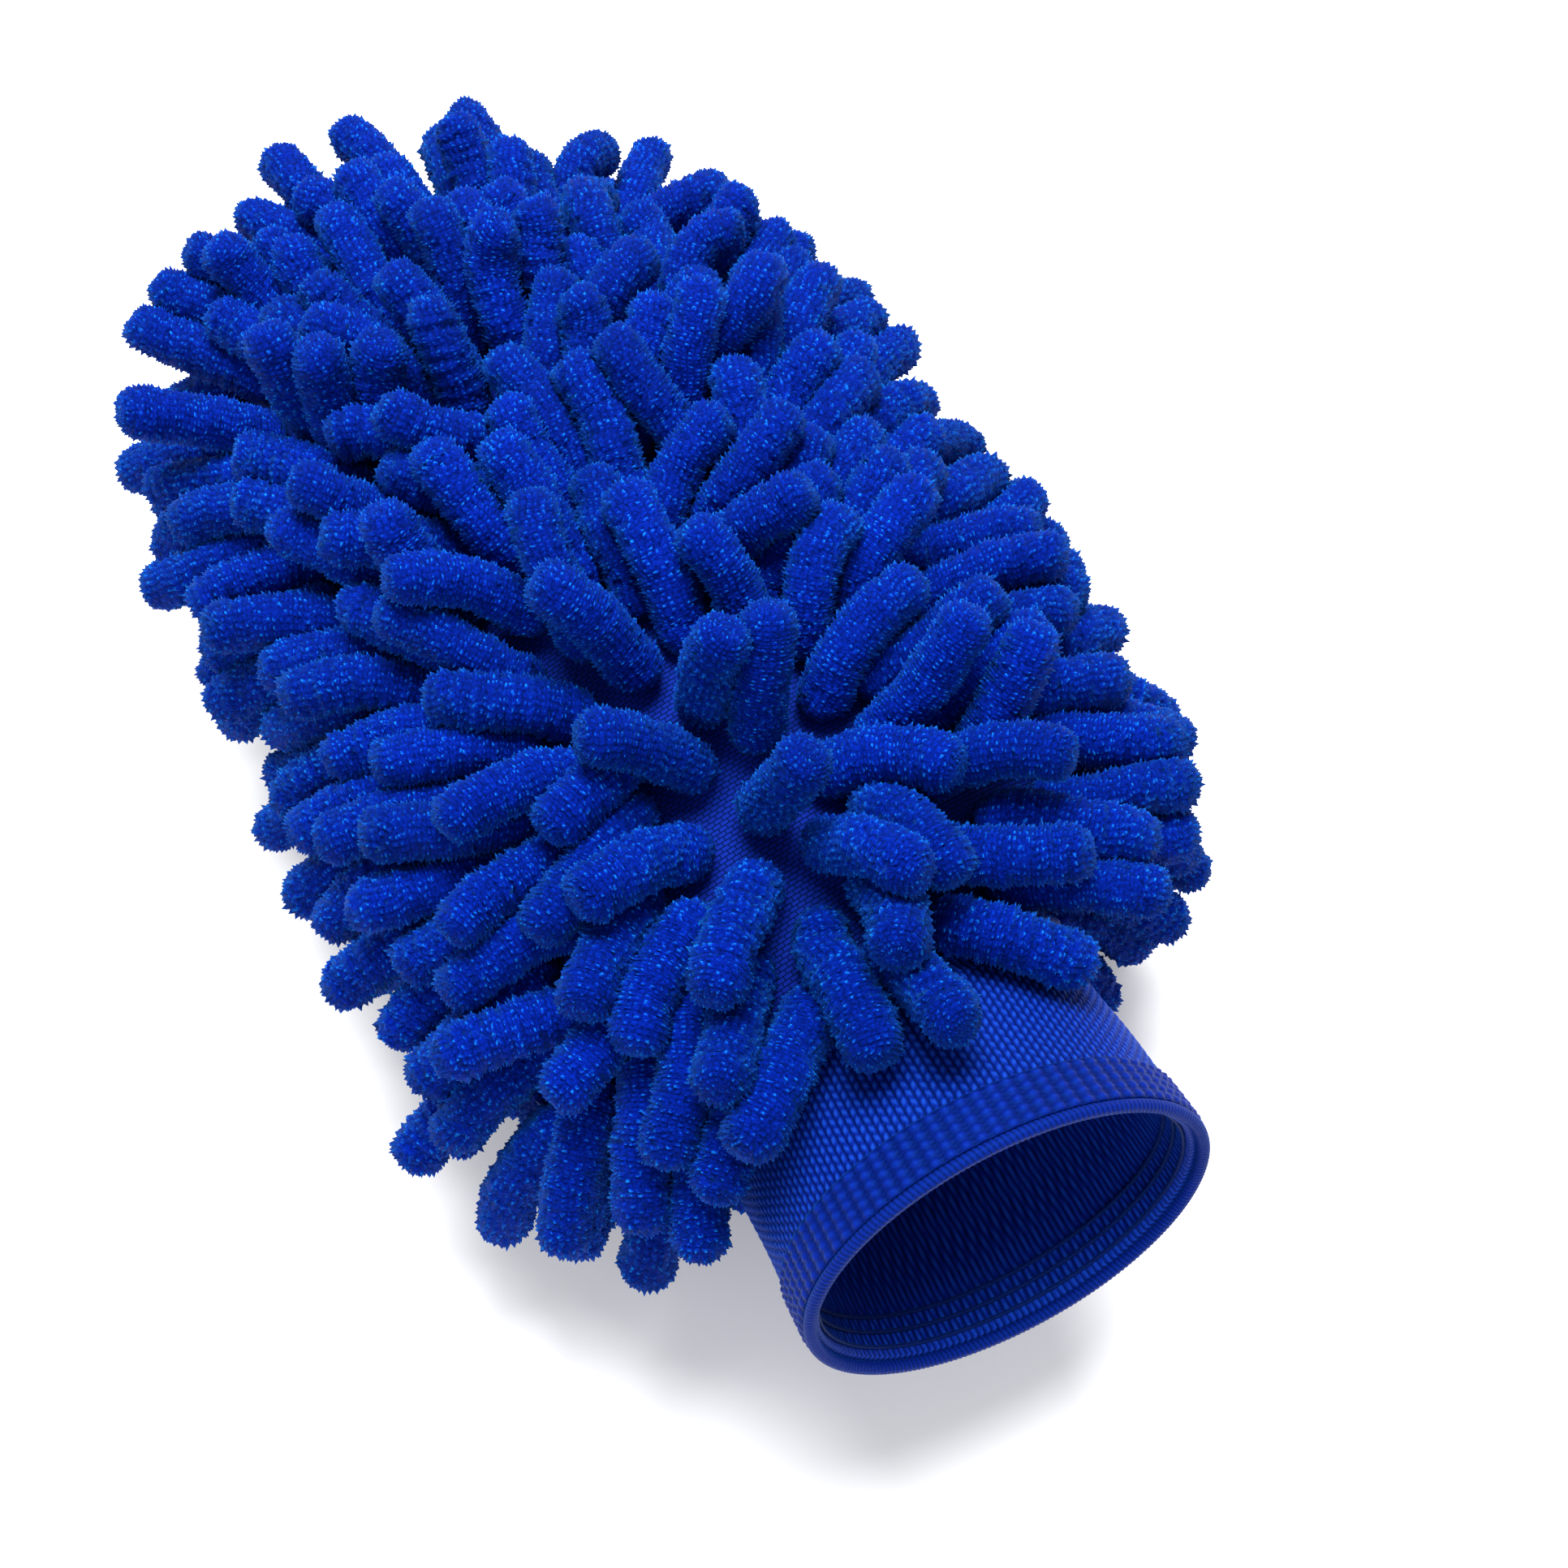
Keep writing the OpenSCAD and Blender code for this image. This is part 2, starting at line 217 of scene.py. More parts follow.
# %% [markdown]
# Chenille pile is millions of cut microfibres. Their tips catch the light and their
# roots lie in shadow, so the colour runs from near black blue at the root to a clear
# blue at the tip: painted shade at the roots and a painted highlight at the tips. Each
# vertex carries how far out in the pile it is, as painted light and shade, and its noodle's tone.

# %% Material: chenille pile
# Painted shade at the roots of the pile, the pile's own blue, and a painted highlight at the tips.
PILE_ROOT = (0.0003, 0.0015, 0.06, 1)
PILE_MID = (0.0007, 0.012, 0.30, 1)
PILE_TIP = (0.0075, 0.300, 0.90, 1)


def make_pile_material():
    material, tree, shader = new_material("chenille_pile", PILE_MID, 0.75, 0.25)
    pile = add(tree, "ShaderNodeAttribute", attribute_name="pile").outputs["Vector"]
    split = add(tree, "ShaderNodeSeparateXYZ", links={"Vector": pile})
    place = add(tree, "ShaderNodeTexCoord").outputs["Object"]
    speckle = add(tree, "ShaderNodeTexNoise", {"Scale": 1900.0, "Detail": 4.0, "Roughness": 0.7},
                  {"Vector": place})
    grain = math_node(tree, "MULTIPLY", math_node(tree, "SUBTRACT", speckle.outputs["Fac"], 0.5), 1.35)
    height = math_node(tree, "ADD", split.outputs["X"], grain)
    # Painted light: the pile value, with the grain, runs from painted shade low in the pile to a painted
    # highlight at the tips.
    color = ramp(tree, height, [(0.05, PILE_ROOT), (0.5, PILE_MID), (1.0, PILE_TIP)])
    toned = add(tree, "ShaderNodeVectorMath", operation="SCALE",
                links={0: color, "Scale": split.outputs["Y"]})
    tree.links.new(dyed(tree, toned.outputs["Vector"], 45.0, 0.12), shader.inputs["Base Color"])
    bump = add(tree, "ShaderNodeBump", {"Strength": 0.7, "Distance": 0.0004},
               {"Height": speckle.outputs["Fac"]})
    tree.links.new(bump.outputs["Normal"], shader.inputs["Normal"])
    return material


pile_material = make_pile_material()

# %% [markdown]
# The base cloth is a fine warp knit: short yarn floats laid like bricks, about a
# millimetre long. The floats come from a brick pattern used as height and as tone: the
# tone differs a little from float to float, and the gaps between the floats are painted shade.

# %% Material: knitted base cloth
CLOTH = (0.0040, 0.013, 0.23, 1)
# Painted shade in the gaps between the yarn floats.
CLOTH_GAP_SHADE = (0.0004, 0.0012, 0.035, 1)


def knit_pattern(tree, vector, size, float_len, float_gap):
    return add(tree, "ShaderNodeTexBrick",
               {"Scale": 1.0, "Mortar Size": float_gap * size, "Mortar Smooth": 0.8,
                "Brick Width": float_len * size, "Row Height": size,
                "Color1": (1, 1, 1, 1), "Color2": (0.8, 0.8, 0.8, 1), "Mortar": (0, 0, 0, 1)},
               {"Vector": vector}, offset=0.5).outputs["Color"]


def make_cloth_material(name, color, gap_shade, vector_source, size, bump_distance):
    material, tree, shader = new_material(name, color, 0.62, 0.2)
    vector = add(tree, "ShaderNodeTexCoord").outputs[vector_source]
    pattern = knit_pattern(tree, vector, size, 1.9, 0.14)
    # Painted shade: darker in the gaps between the floats and towards their soft edges.
    shade = ramp(tree, pattern, [(0.0, gap_shade), (0.85, color)])
    tree.links.new(dyed(tree, shade, 120.0, 0.15), shader.inputs["Base Color"])
    bump = add(tree, "ShaderNodeBump", {"Strength": 0.8, "Distance": bump_distance},
               {"Height": pattern})
    tree.links.new(bump.outputs["Normal"], shader.inputs["Normal"])
    return material


cloth_material = make_cloth_material("base_knit", CLOTH, CLOTH_GAP_SHADE, "Object", 0.0008, 0.0004)

# %% [markdown]
# The cuff's stitches are real relief in its mesh. Its material adds the yarn's fine grain,
# and paints light and shade from the relief: painted shade low between the stitches and a
# painted highlight on their tops.

# %% Material: cuff knit, thread and rubber
CUFF = (0.0018, 0.012, 0.20, 1)
# Painted shade, low in the knit's relief, and a painted highlight, on its tops.
CUFF_SHADE = (0.0004, 0.002, 0.045, 1)
CUFF_HIGHLIGHT = (0.007, 0.050, 0.38, 1)
THREAD = (0.0016, 0.010, 0.15, 1)
RUBBER = (0.002, 0.006, 0.07, 1)


def make_yarn_material(name, low, mid, highlight_color, grain_scale):
    material, tree, shader = new_material(name, mid, 0.55, 0.15)
    relief = add(tree, "ShaderNodeAttribute", attribute_name="relief").outputs["Fac"]
    place = add(tree, "ShaderNodeTexCoord").outputs["Object"]
    grain = add(tree, "ShaderNodeTexNoise", {"Scale": grain_scale, "Detail": 3.0}, {"Vector": place})
    soft = math_node(tree, "MULTIPLY", math_node(tree, "SUBTRACT", grain.outputs["Fac"], 0.5), 0.35)
    height = math_node(tree, "ADD", relief, soft)
    # Painted light: from painted shade low between the stitches to a painted highlight on their tops.
    color = ramp(tree, height, [(0.0, low), (0.5, mid), (1.0, highlight_color)])
    tree.links.new(dyed(tree, color, 90.0, 0.15), shader.inputs["Base Color"])
    bump = add(tree, "ShaderNodeBump", {"Strength": 0.5, "Distance": 0.0002},
               {"Height": grain.outputs["Fac"]})
    tree.links.new(bump.outputs["Normal"], shader.inputs["Normal"])
    return material


cuff_material = make_yarn_material("cuff_knit", CUFF_SHADE, CUFF, CUFF_HIGHLIGHT, 3500.0)
thread_material = make_yarn_material("sewing_thread", CUFF_SHADE, THREAD, CUFF, 5000.0)
rubber_material = make_yarn_material("rubber_thread", RUBBER, RUBBER, CUFF_SHADE, 2500.0)

# %% [markdown]
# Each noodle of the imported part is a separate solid. Its root, direction and length are
# read back from its vertices: the long axis comes from the spread of the points, and the
# root is the end that is nearer to the cloth.

# %% Read the noodles from the frame
def merged(node):
    """A bmesh of a CAD node with its loose triangles joined."""
    bm = bmesh.new()
    bm.from_mesh(nodes[node].data)
    bmesh.ops.remove_doubles(bm, verts=bm.verts, dist=1e-6)
    return bm


def solids_of(node):
    """The points of each separate solid of a CAD node, as arrays."""
    bm = merged(node)
    seen, found = set(), []
    for start in bm.verts:
        if start in seen:
            continue
        island, front = [], [start]
        seen.add(start)
        while front:
            vert = front.pop()
            island.append(vert.co[:])
            for edge in vert.link_edges:
                other = edge.other_vert(vert)
                if other not in seen:
                    seen.add(other)
                    front.append(other)
        found.append(np.array(island))
    bm.free()
    return found


def tree_of(names):
    """One search tree over the triangles of several CAD nodes."""
    points, faces = [], []
    for name in names:
        bm = merged(name)
        first = len(points)
        bm.verts.ensure_lookup_table()
        points += [v.co.copy() for v in bm.verts]
        faces += [[first + v.index for v in f.verts] for f in bm.faces]
        bm.free()
    return BVHTree.FromPolygons(points, faces)


def long_axis(points):
    """The two ends of a long solid."""
    centre = (points.max(0) + points.min(0)) / 2
    axis = np.linalg.svd(points - points.mean(0), full_matrices=False)[2][0]
    along = (points - centre) @ axis
    middle = points.mean(0) - axis * ((points.mean(0) - centre) @ axis)
    return middle + axis * along.min(), middle + axis * along.max()


cloth_tree = tree_of(["back_panel", "palm_panel"])
solid_tree = tree_of(["back_panel", "palm_panel", "cuff_rib", "cuff_hem"])
pile_rows = sorted(name for name in nodes if "_noodles_" in name)
roots, tips, owners = [], [], []
for row, name in enumerate(pile_rows):
    for points in solids_of(name):
        a, b = long_axis(points)
        if cloth_tree.find_nearest(a)[3] > cloth_tree.find_nearest(b)[3]:
            a, b = b, a
        roots.append(a)
        tips.append(b)
        owners.append(row)
roots, tips, owners = np.array(roots), np.array(tips), np.array(owners)
lengths = np.linalg.norm(tips - roots, axis=1)
print("noodles:", len(roots), "in", len(pile_rows), "rows, length",
      round(float(lengths.mean()) / MM, 1), "mm")

# %% [markdown]
# A noodle is soft but springy: it leaves the cloth in the direction that it was tufted in,
# bends a little under its own weight, and rests on its neighbours. Each one is a chain of
# points. In small steps the points sink, straighten, are pushed out of the neighbours and
# the cloth, and are put back to their distance along the chain.

# %% Let the pile settle
JOINTS = 9
NOODLE_RADIUS = 4.5 * MM
FLOOR_CLEAR = NOODLE_RADIUS + 1.9 * MM
CONTACT = 4.6 * MM
ROUNDS = 90
SAG = 0.16 * MM
STIFFNESS = 0.30
ROOT_HOLD = 0.5
CURL = 0.38 * MM
LENGTH_SPREAD = (0.97, 1.12)
DIRECTION_SPREAD = 0.24
PUSH = 0.25
ROOT_JOINTS = 2.2

count = len(roots)
lengths = lengths * rng.uniform(*LENGTH_SPREAD, count)
step_len = (lengths / JOINTS)[:, None]
first_dir = (tips - roots) / np.linalg.norm(tips - roots, axis=1, keepdims=True)
first_dir += rng.normal(0, DIRECTION_SPREAD, first_dir.shape)
first_dir /= np.linalg.norm(first_dir, axis=1, keepdims=True)
curl = rng.normal(0, 1, (count, 3))
curl -= (curl * first_dir).sum(1, keepdims=True) * first_dir
curl *= CURL * rng.uniform(0.1, 1, (count, 1)) / np.linalg.norm(curl, axis=1, keepdims=True)
chains = roots[:, None] + first_dir[:, None] * (np.arange(JOINTS + 1)[None, :, None] * step_len[:, None])


def touching(points, owner):
    """Pairs of points of different noodles that are closer than twice CONTACT."""
    square = (points ** 2).sum(1)
    gap = square[:, None] + square[None] - 2 * points @ points.T
    a, b = np.nonzero(np.triu(gap < (2 * CONTACT) ** 2, 1))
    keep = owner[a] != owner[b]
    return a[keep], b[keep]


def push_apart(points, pairs):
    """Moves each pair of touching points away from each other."""
    a, b = pairs
    between = points[a] - points[b]
    gap = np.linalg.norm(between, axis=1, keepdims=True) + 1e-9
    move = between / gap * np.clip(2 * CONTACT - gap, 0, None) * PUSH
    np.add.at(points, a, move)
    np.add.at(points, b, -move)


def out_of_cloth(points, clear):
    """Moves points that are too near the cloth or the cuff away from it."""
    for i, point in enumerate(points):
        near, _, _, gap = solid_tree.find_nearest(point, clear[i])
        if near is not None and gap > 1e-7:
            points[i] += (point - np.array(near)) / gap * (clear[i] - gap)


owner_of_point = np.repeat(np.arange(count), JOINTS)
clear_of_point = np.tile(CONTACT * np.minimum(1, np.arange(1, JOINTS + 1) / ROOT_JOINTS), count)
for turn in range(ROUNDS):
    chains[:, 2:, 2] -= SAG
    for i in range(2, JOINTS + 1):
        straight = 2 * chains[:, i - 1] - chains[:, i - 2] + curl
        chains[:, i] += STIFFNESS * (straight - chains[:, i])
    chains[:, 1] += ROOT_HOLD * (roots + first_dir * step_len - chains[:, 1])
    free = chains[:, 1:].reshape(-1, 3)
    if turn % 3 == 0:
        pairs = touching(free, owner_of_point)
    push_apart(free, pairs)
    if turn % 3 == 1:
        out_of_cloth(free, clear_of_point)
    free[:, 2] = np.maximum(free[:, 2], FLOOR_CLEAR)
    chains[:, 1:] = free.reshape(count, JOINTS, 3)
    for i in range(1, JOINTS + 1):
        link = chains[:, i] - chains[:, i - 1]
        chains[:, i] = chains[:, i - 1] + link / np.linalg.norm(link, axis=1, keepdims=True) * step_len
print("settled in", ROUNDS, "rounds,", len(pairs[0]), "touching pairs, lowest",
      round(float(chains[..., 2].min()) / MM, 1), "mm")

# %% [markdown]
# One noodle starts as a sphere from bmesh.ops.create_uvsphere. bmesh.ops.poke then puts a
# point in the middle of every face: these points become the tips of the pile, and the
# sphere's own points the valleys between the tufts, in one closed skin.

# %% One noodle's template
SIDES_ROUND = 22
RINGS = 46
TIP_RINGS = 8


def noodle_template():
    bm = bmesh.new()
    bmesh.ops.create_uvsphere(bm, u_segments=SIDES_ROUND, v_segments=RINGS, radius=1)
    tips = bmesh.ops.poke(bm, faces=bm.faces[:], offset=0)["verts"]
    bm.verts.index_update()
    tuft_points = np.zeros(len(bm.verts), bool)
    tuft_points[[v.index for v in tips]] = True
    mesh = bpy.data.meshes.new("noodle_template")
    bm.to_mesh(mesh)
    bm.free()
    co = np.array([v.co[:] for v in mesh.vertices])
    height = np.clip(-co[:, 2] / np.linalg.norm(co, axis=1), -1, 1)
    half_ring = np.rint(np.arccos(height) / math.pi * RINGS * 2).astype(int)
    return mesh, half_ring, np.arctan2(co[:, 1], co[:, 0]), tuft_points


template_mesh, ring_of, angle_of, is_tuft = noodle_template()
print("template:", len(ring_of), "points,", len(template_mesh.polygons), "faces,",
      int(is_tuft.sum()), "tufts")

# %% [markdown]
# The rings of points are spread along the settled chain, so the sphere becomes a sausage
# with a narrow root and a blunt round tip. The chain is made smooth first with a
# Catmull-Rom curve, and each ring's two side directions are carried from the ring before.

# %% Spread the rings along the noodles
half = np.arange(2 * RINGS + 1) / 2
body_rings = RINGS - TIP_RINGS
dome_turn = np.clip(half - body_rings, 0, None) / TIP_RINGS * math.pi / 2
dome_len = 0.95 * NOODLE_RADIUS / lengths[:, None]
along = (np.clip(half / body_rings, 0, 1)[None] * (1 - dome_len) + dome_len * np.sin(dome_turn)[None])
size = np.cos(dome_turn)[None] ** 0.8 * (0.5 + 0.5 * np.clip(along / 0.12, 0, 1) ** 0.6)
size[:, 0] = 0
size[:, -1] = 0


def unit(v):
    return v / (np.linalg.norm(v, axis=-1, keepdims=True) + 1e-12)


def along_chain(chain, share):
    """Points on a smooth curve through the chain, for every noodle at once."""
    padded = np.concatenate([2 * chain[:, :1] - chain[:, 1:2], chain,
                             2 * chain[:, -1:] - chain[:, -2:-1]], 1)
    place = np.clip(share, 0, 1) * JOINTS
    i = np.minimum(place.astype(int), JOINTS - 1)
    t = (place - i)[..., None]
    who = np.arange(len(chain))[:, None]
    p0, p1, p2, p3 = (padded[who, i + k] for k in range(4))
    return 0.5 * (2 * p1 + (p2 - p0) * t + (2 * p0 - 5 * p1 + 4 * p2 - p3) * t ** 2
                  + (3 * p1 - p0 - 3 * p2 + p3) * t ** 3)


line = along_chain(chains, along)
heading = unit(along_chain(chains, along + 0.02) - along_chain(chains, along - 0.02))
side = np.cross(heading[:, 0], rng.normal(0, 1, (count, 3)))
sides = np.empty_like(heading)
for k in range(len(half)):
    side = unit(side - (side * heading[:, k]).sum(1, keepdims=True) * heading[:, k])
    sides[:, k] = side
ups = np.cross(heading, sides)
print("rings:", line.shape[1], "for each of", line.shape[0], "noodles")

# %% [markdown]
# Twisted core threads leave shallow ridges round a noodle, more on some than on others,
# and the cut pile is lumpy. Each tuft stands out by its own length, and leans to the tip
# and a little to one side, so no two noodles are alike.

# %% Shape the pile
RIDGE_PITCH = 2.6 * MM
RIDGE = 0.24 * MM
LUMP = 0.36 * MM
VALLEY = 0.14 * MM
TUFT = (0.22 * MM, 0.85 * MM)
TUFT_LEAN = 0.28 * MM
TUFT_JITTER = 0.20 * MM
RING_TWIST = 0.40

thick = rng.uniform(0.95, 1.06, (count, 1)) * NOODLE_RADIUS
phase = rng.uniform(0, 2 * math.pi, (count, 5, 1))
turn_way = rng.choice([-1, 1], (count, 1))
twist = rng.uniform(-RING_TWIST, RING_TWIST, (count, RINGS + 1)) * 2 * math.pi / SIDES_ROUND
twist = np.stack([np.interp(half, np.arange(RINGS + 1), t) for t in twist])
a = angle_of[None] + twist[:, ring_of]
s = along[:, ring_of]
ridge = np.sin(2 * math.pi * s * lengths[:, None] / RIDGE_PITCH + turn_way * a + phase[:, 0])
ridge *= rng.uniform(0.05, 1, (count, 1)) ** 1.5
lumps = (np.sin(9 * s + a + phase[:, 1]) + 0.8 * np.sin(16 * s - 2 * a + phase[:, 2])
         + 0.6 * np.sin(27 * s + 3 * a + phase[:, 3])) / 2.4
share = size[:, ring_of]
fade = np.minimum(1, share * 1.3)
tuft = np.where(is_tuft, rng.uniform(*TUFT, a.shape), -rng.uniform(0, VALLEY, a.shape))
out = fade * (RIDGE * ridge + LUMP * lumps + tuft)
radial = (sides[:, ring_of] * np.cos(a)[..., None] + ups[:, ring_of] * np.sin(a)[..., None])
dome = dome_turn[ring_of][None, :, None]
outward = radial * np.cos(dome) + heading[:, ring_of] * np.sin(dome)
skin = line[:, ring_of] + radial * (thick * share)[..., None] + outward * out[..., None]
sway = rng.normal(0, TUFT_JITTER, skin.shape) + heading[:, ring_of] * TUFT_LEAN
skin += sway * (is_tuft[None] * fade * (ring_of > 2)[None])[..., None]
# The pile value is painted light and shade: tuft tips, ridge crests and lumps are painted lighter, and
# each noodle is painted darker where it leaves the cloth.
reach = tuft / TUFT[1]
painted_pile_light = np.clip(0.16 + 0.62 * np.where(is_tuft, reach, 0) + 0.05 * ridge + 0.04 * lumps, 0, 1)
painted_pile_light *= np.minimum(1, 0.25 + s / 0.12)
print("skin:", skin.shape[0] * len(template_mesh.polygons), "faces")

# %% [markdown]
# The noodles of one row are joined in one mesh, which stands for that row's node. The
# faces come from the template, and the points are then moved to their places.

# %% Build the rows of pile
tone_of = rng.uniform(0.86, 1.12, count)


def finished(bm, name, material, node):
    """Turns a bmesh into a smooth piece that stands for a CAD node."""
    mesh = bpy.data.meshes.new(name)
    bm.to_mesh(mesh)
    bm.free()
    mesh.materials.clear()
    mesh.materials.append(material)
    mesh.polygons.foreach_set("use_smooth", [True] * len(mesh.polygons))
    made = bpy.data.objects.new(name, mesh)
    bpy.context.scene.collection.objects.link(made)
    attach(made, "root")
    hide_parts(node)
    return made


def build_row(row):
    """The noodles of one row, as one piece."""
    members = np.nonzero(owners == row)[0]
    bm = bmesh.new()
    for _ in members:
        bm.from_mesh(template_mesh)
    made = finished(bm, pile_rows[row].replace("_noodles_", "_pile_row_"), pile_material,
                    pile_rows[row])
    made.data.vertices.foreach_set("co", skin[members].astype(np.float32).ravel())
    tones = np.broadcast_to(tone_of[members, None], painted_pile_light[members].shape)
    pile = np.stack([painted_pile_light[members], tones, np.zeros_like(tones)], 2)
    layer = made.data.attributes.new("pile", "FLOAT_VECTOR", "POINT")
    layer.data.foreach_set("vector", pile.astype(np.float32).ravel())
    made.data.update()
    return made


rows_made = [build_row(row) for row in range(len(pile_rows))]
bpy.data.meshes.remove(template_mesh)
print("pile:", len(rows_made), "pieces,", sum(len(o.data.polygons) for o in rows_made), "faces")

# %% [markdown]
# The two panels of base cloth are stretched over the hand. Each starts as a copy of its
# packed shell, is merged and subdivided, and rises in a small knot under every noodle
# where the chenille is tufted through.

# %% Base cloth panels
KNOT_HEIGHT = 0.7 * MM
KNOT_WIDTH = 2.4 * MM


def tufted_cloth(node, name):
    bm = merged(node)
    bmesh.ops.subdivide_edges(bm, edges=bm.edges, cuts=2, use_grid_fill=True)
    for _ in range(2):
        bmesh.ops.smooth_vert(bm, verts=[v for v in bm.verts if not v.is_boundary], factor=0.35,
                              use_axis_x=True, use_axis_y=True, use_axis_z=True)
    bm.normal_update()
    feet = np.array([cloth_tree.find_nearest(r)[0][:] for r in roots])
    for v in bm.verts:
        gap = np.linalg.norm(feet - np.array(v.co), axis=1).min()
        v.co += v.normal * KNOT_HEIGHT * math.exp(-((gap / KNOT_WIDTH) ** 2))
    return finished(bm, name, cloth_material, node)


back_cloth = tufted_cloth("back_panel", "back_cloth")
palm_cloth = tufted_cloth("palm_panel", "palm_cloth")
print("base cloth:", len(back_cloth.data.polygons), "and", len(palm_cloth.data.polygons), "faces")

# %% [markdown]
# The cuff is a knitted tube that bends up off the wrist. A flat grid is wrapped round it:
# one way runs round the wrist and the other goes down the outside and back up the
# inside, so the ends meet and are merged, and the knit relief is pushed out of the wall.

# %% The cuff's own coordinates
CUFF_HALF = (35.5 * MM, 27 * MM)
CUFF_TILT = math.radians(26)
CUFF_TURN = math.radians(8)
BEND_LEN = 14 * MM
PATH_STEPS = 120
panel_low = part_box("back_panel")[0]
join_centre = np.array([middle_of("cuff_join_seam").x, panel_low.y, panel_low.z])
path_len = 52 * MM
path_t = np.linspace(0, path_len, PATH_STEPS)
bend = np.minimum(1, path_t / BEND_LEN)
path_dir = np.stack([-np.sin(CUFF_TURN * bend) * np.cos(CUFF_TILT * bend),
                     -np.cos(CUFF_TURN * bend) * np.cos(CUFF_TILT * bend),
                     np.sin(CUFF_TILT * bend)], 1)
path_points = join_centre + np.concatenate([np.zeros((1, 3)), np.cumsum(
    (path_dir[1:] + path_dir[:-1]) / 2 * (path_len / (PATH_STEPS - 1)), 0)])


def on_cuff(t, turn, out):
    """Points at a distance t from the join, a share of a turn, and out from the cuff's face."""
    centre = np.stack([np.interp(t, path_t, path_points[:, k]) for k in range(3)], 1)
    way = np.stack([np.interp(t, path_t, path_dir[:, k]) for k in range(3)], 1)
    way /= np.linalg.norm(way, axis=1, keepdims=True)
    right = np.cross(way, [0, 0, 1])
    right /= np.linalg.norm(right, axis=1, keepdims=True)
    up = np.cross(right, way)
    a = 2 * math.pi * turn[:, None]
    return (centre - right * (CUFF_HALF[0] + out[:, None]) * np.cos(a)
            + up * (CUFF_HALF[1] + out[:, None]) * np.sin(a))


def wrapped_grid(columns, rows, place):
    """A grid wrapped into a closed shape. place gives the points and the relief of u and v."""
    bm = bmesh.new()
    bmesh.ops.create_grid(bm, x_segments=columns, y_segments=rows, size=0.5)
    uv = np.array([v.co[:2] for v in bm.verts]) + 0.5
    points, relief = place(uv[:, 0], uv[:, 1])
    # The relief is kept on the points: the yarn material paints shade low in it and a highlight on its
    # tops.
    layer = bm.verts.layers.float.new("relief")
    for v, p, r in zip(bm.verts, points, relief):
        v.co = p
        v[layer] = r
    bmesh.ops.remove_doubles(bm, verts=bm.verts, dist=4e-6)
    bmesh.ops.recalc_face_normals(bm, faces=bm.faces)
    return bm


def wall(v, t0, t1, outer, inner, outer_share):
    """Down the outside of a sleeve, over its edge and back up the inside, and where it faces out."""
    edge = 0.02
    stops = [0, outer_share, outer_share + edge, 1 - edge, 1]
    along = np.interp(v, stops, [t0, t1, t1, t0, t0])
    out = np.interp(v, stops, [outer, outer, inner, inner, outer])
    return along, out, np.interp(v, [0, 0.01, outer_share - 0.01, outer_share], [0, 1, 1, 0])


# %% [markdown]
# Two knits meet in the cuff. The body of it is fine: narrow wales of slanted stitches.
# The last nine millimetres are a hem with coarse ribs, and each rib is a string of beads
# where the stitches cross the rubber threads inside.

# %% Cuff knit and hem
CUFF_LEN = 46 * MM
CUFF_THICK = 2.2 * MM
HEM_LEN = 9 * MM
HEM_THICK = 0.9 * MM
# How strongly the hem's relief paints its shade and highlight.
HEM_SHADING = 0.55
RIBS = 86
STITCH_ROWS = 25
BEADS = 5


def knit_relief(turn, t):
    """Slanted stitches in wales: each wale's stitches lean the other way from the next one's."""
    wale = turn * RIBS * 2
    slant = np.where(np.floor(wale) % 2 == 0, 1, -1)
    row = t / CUFF_LEN * STITCH_ROWS + 0.5 * slant * (wale % 1)
    across = np.sin(math.pi * (wale % 1)) ** 0.8
    return across * (0.2 + 0.8 * np.sin(math.pi * (row % 1)))


def place_rib(u, v):
    t, out, face = wall(v, 0.1 * MM, CUFF_LEN, 0, -CUFF_THICK, 0.84)
    height = knit_relief(u, t)
    loose = 0.35 * MM * np.sin(2 * math.pi * (3 * u + 40 * t)) * np.clip(1 - t / CUFF_LEN, 0, 1)
    return on_cuff(t, u, out + face * (0.42 * MM * height + loose)), height


def bead_lines(t):
    """The thin stitched line that lies in the groove between two ribs."""
    return (0.5 + 0.5 * np.cos(2 * math.pi * 2 * BEADS * (t - CUFF_LEN) / HEM_LEN)) ** 0.7


def place_hem(u, v):
    t, out, face = wall(v, CUFF_LEN - HEM_LEN, CUFF_LEN, HEM_THICK * 0.6, 0.15 * MM, 0.86)
    rib = 0.5 + 0.5 * np.cos(2 * math.pi * RIBS * u)
    bead = 0.5 + 0.5 * np.cos(2 * math.pi * BEADS * (t - CUFF_LEN) / HEM_LEN - math.pi)
    height = rib ** 0.7 * (0.45 + 0.55 * bead ** 0.8) + 0.35 * (1 - rib) ** 6 * bead_lines(t)
    ends = np.clip((t - CUFF_LEN + HEM_LEN) / (0.8 * MM), 0, 1)
    # The relief paints the hem: painted shade between ribs and beads, and a fainter painted highlight on
    # them than on the rest of the cuff.
    return on_cuff(t, u, out + face * 0.6 * MM * height * ends), height * HEM_SHADING


cuff = finished(wrapped_grid(RIBS * 6, 150, place_rib), "cuff_knit_tube", cuff_material,
                "cuff_rib")
hem = finished(wrapped_grid(RIBS * 8, 44, place_hem), "cuff_beaded_hem", cuff_material,
               "cuff_hem")
print("cuff:", len(cuff.data.polygons), "faces, hem:", len(hem.data.polygons))

# %% [markdown]
# The rim is rolled and oversewn, so it looks like a thin cord with slanting thread. The
# join to the body is a fatter overlocked ridge, and the rubber threads run inside the hem.

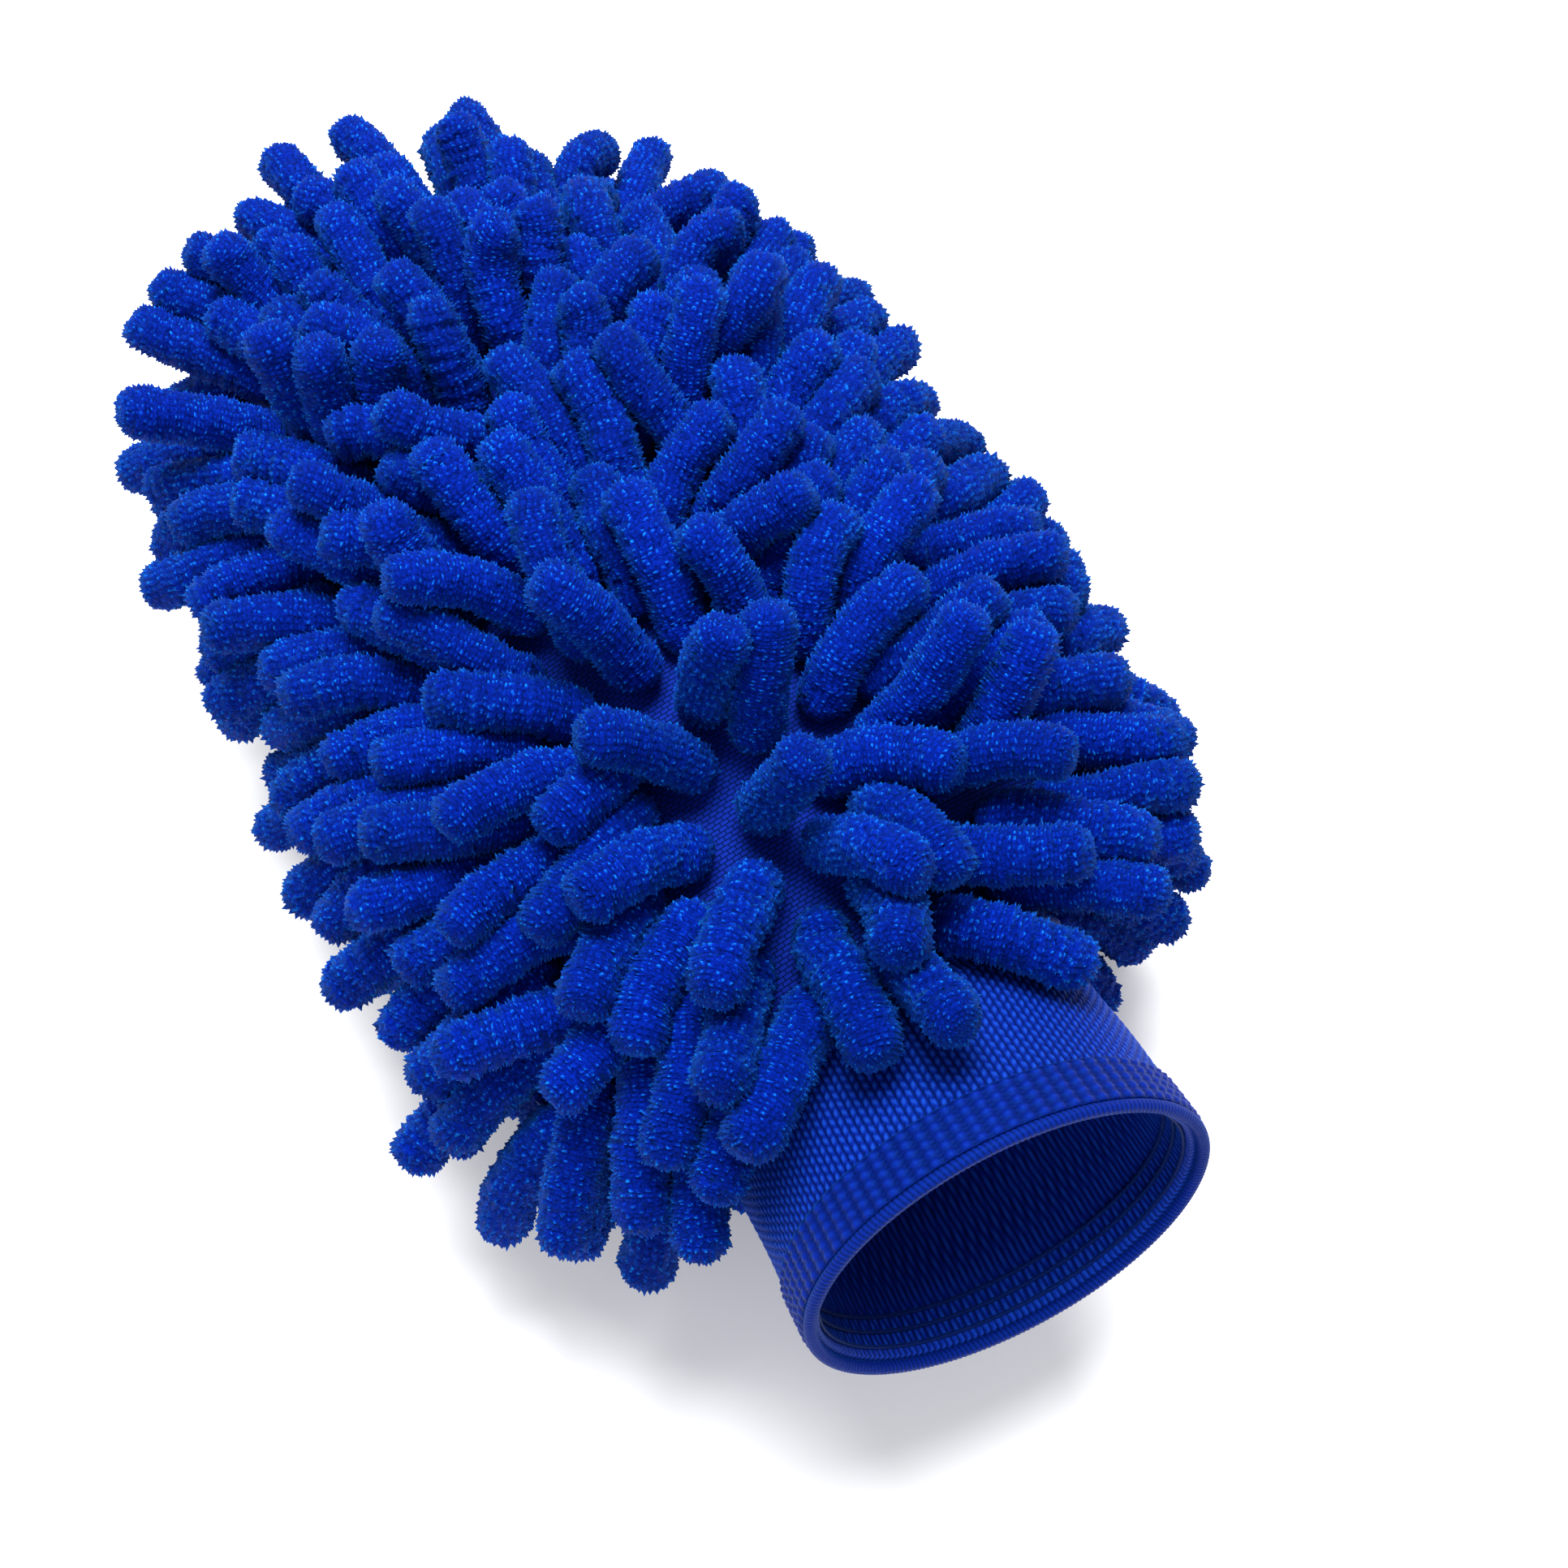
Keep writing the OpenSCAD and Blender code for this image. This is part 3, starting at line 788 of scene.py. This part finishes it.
# %% Rings round the cuff
def ring_bm(t, out, r, columns, rows, wraps, relief_size):
    def place(u, v):
        b = 2 * math.pi * v
        height = 0.5 + 0.5 * np.sin(2 * math.pi * (wraps * u + 2 * v))
        full = r + relief_size * (height - 0.5)
        return on_cuff(t + full * np.sin(b), u, out + full * np.cos(b)), height
    return wrapped_grid(columns, rows, place)


ROLL_RADIUS = 1.1 * MM
ROLL_COLUMNS = 1200
ROLL_WRAPS = 240
roll = finished(ring_bm(CUFF_LEN + ROLL_RADIUS * 0.7, -0.35 * MM, ROLL_RADIUS,
                        ROLL_COLUMNS, 10, ROLL_WRAPS, 0.12 * MM),
                "cuff_rolled_rim", thread_material, "cuff_rolled_edge")
join = finished(ring_bm(1.7 * MM, 1.15 * MM, 1.1 * MM, 700, 8, 90, 0.35 * MM),
                "cuff_join_overlock", thread_material, "cuff_join_seam")


def rubber_threads():
    bm = bmesh.new()
    for i in range(3):
        part = ring_bm(CUFF_LEN - HEM_LEN * (i + 0.5) / 3, -CUFF_THICK - 0.4 * MM, 0.35 * MM,
                       160, 6, 60, 0.05 * MM)
        held = bpy.data.meshes.new("held")
        part.to_mesh(held)
        part.free()
        bm.from_mesh(held)
        bpy.data.meshes.remove(held)
    return bm


rubber = finished(rubber_threads(), "cuff_rubber_threads", rubber_material,
                  "cuff_elastic_threads")
print("rings:", {ring.name: len(ring.data.polygons) for ring in (roll, join, rubber)})

# %% [markdown]
# The panels are joined by a seam whose allowance stands out as a narrow flat strip. It
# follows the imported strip. The stitches on it are short loops of thread, each a small
# sphere drawn out between the ends of its packed stitch.

# %% Seam allowance and stitches
def seam_strip():
    bm = merged("side_seam_allowance")
    bmesh.ops.subdivide_edges(bm, edges=bm.edges, cuts=5, use_grid_fill=True)
    bm.normal_update()
    layer = bm.verts.layers.float.new("relief")
    for v in bm.verts:
        wave = 0.5 + 0.5 * math.sin((v.co.y + 0.4 * abs(v.co.x)) / MM * 4.2)
        v.co += v.normal * 0.16 * MM * wave
        v[layer] = 0.2 + 0.6 * wave
    return bm


def stitches(node, radius_scale):
    bm = bmesh.new()
    for points in solids_of(node):
        a, b = long_axis(points)
        ball = bmesh.ops.create_uvsphere(bm, u_segments=6, v_segments=6, radius=1)
        axis = Vector(b - a)
        thick = STITCH_RADIUS * radius_scale
        turn = axis.to_track_quat("Z", "Y").to_matrix().to_4x4()
        size = Matrix.Diagonal((thick, thick, axis.length / 2, 1))
        bmesh.ops.transform(bm, matrix=Matrix.Translation(Vector((a + b) / 2)) @ turn @ size,
                            verts=ball["verts"])
    layer = bm.verts.layers.float.new("relief")
    for v in bm.verts:
        v[layer] = 0.7
    return bm


STITCH_RADIUS = 0.4 * MM
seam = finished(seam_strip(), "side_seam_strip", cloth_material, "side_seam_allowance")
side_stitches = finished(stitches("side_seam_stitches", 1.15), "side_seam_thread", thread_material,
                         "side_seam_stitches")
join_stitches = finished(stitches("cuff_join_stitches", 1.2), "cuff_join_thread", thread_material,
                         "cuff_join_stitches")
print("seams:", {made.name: len(made.data.polygons) for made in (seam, side_stitches, join_stitches)})

# %% [markdown]
# The mitt lies on a plain pale floor, which belongs to the studio and not to the mitt. One
# large flat square is enough, because only its colour and the soft shadow on it show.

# %% Floor
FLOOR_HALF = 3
PALE = (0.86, 0.86, 0.87, 1)
bm = bmesh.new()
bmesh.ops.create_grid(bm, x_segments=1, y_segments=1, size=FLOOR_HALF)
floor_mesh = bpy.data.meshes.new("floor")
bm.to_mesh(floor_mesh)
bm.free()
floor_material = new_material("pale_floor", PALE, 0.9)[0]
floor_mesh.materials.append(floor_material)
floor = bpy.data.objects.new("floor", floor_mesh)
bpy.context.scene.collection.objects.link(floor)
